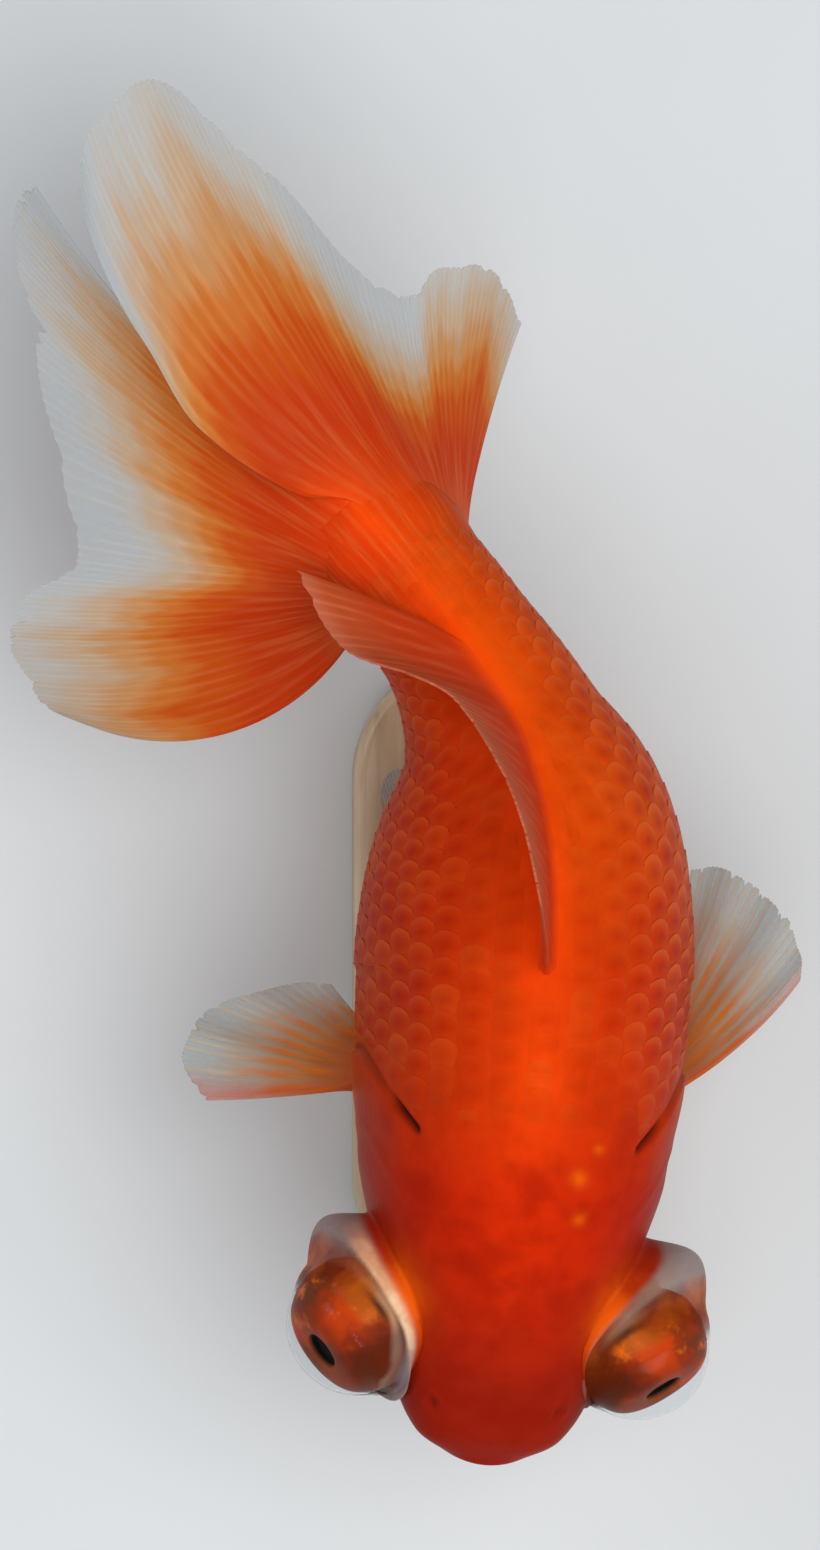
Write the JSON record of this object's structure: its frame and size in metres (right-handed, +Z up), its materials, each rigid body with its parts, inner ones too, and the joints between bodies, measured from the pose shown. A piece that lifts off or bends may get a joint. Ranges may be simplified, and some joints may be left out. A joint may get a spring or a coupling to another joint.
{
  "type": "telescope-eye goldfish model",
  "caption": "Life-size still model of a red telescope-eye goldfish with a double tail, bent as it swims, on a small display stand.",
  "frame": {"origin": "middle of the stand's underside", "axes": "+Z up, the head points to -Y, the fish's left side is +X, and the tail bends round to -X"},
  "size_m": [0.0818, 0.1389, 0.0776],
  "materials": {
    "skin": "vivid orange-red scaled skin with a wet sheen, each scale darker at its middle and paler at its edge",
    "lips": "smooth deep red skin with a wet sheen",
    "gill_cover": "smooth deep red skin with a few golden glints",
    "eye_bulb": "pale pinkish, slightly see-through tissue round the eye",
    "iris": "brown and orange, with a black pupil",
    "cornea": "clear and colourless, very smooth",
    "fin": "thin rayed membrane, deep orange-red at the root and see-through greyish white at the edge",
    "stand_wood": "pale maple wood, satin varnish",
    "stand_steel": "brushed"
  },
  "bodies": {
    "root": {"head": "skin", "trunk": "skin", "tail_stock": "skin", "mouth": "lips", "gill_cover_left": "gill_cover", "gill_cover_right": "gill_cover", "eye_socket_left": "eye_bulb", "eye_socket_right": "eye_bulb", "eye_left": "iris", "eye_right": "iris", "eye_cornea_left": "cornea", "eye_cornea_right": "cornea", "dorsal_fin": "fin", "caudal_fin_left_upper": "fin", "caudal_fin_left_lower": "fin", "caudal_fin_right_upper": "fin", "caudal_fin_right_lower": "fin", "pectoral_fin_left": "fin", "pectoral_fin_right": "fin", "pelvic_fin_left": "fin", "pelvic_fin_right": "fin", "anal_fin_left": "fin", "anal_fin_right": "fin", "stand_base": "stand_wood", "stand_rod": "stand_steel"}
  },
  "joints": []
}
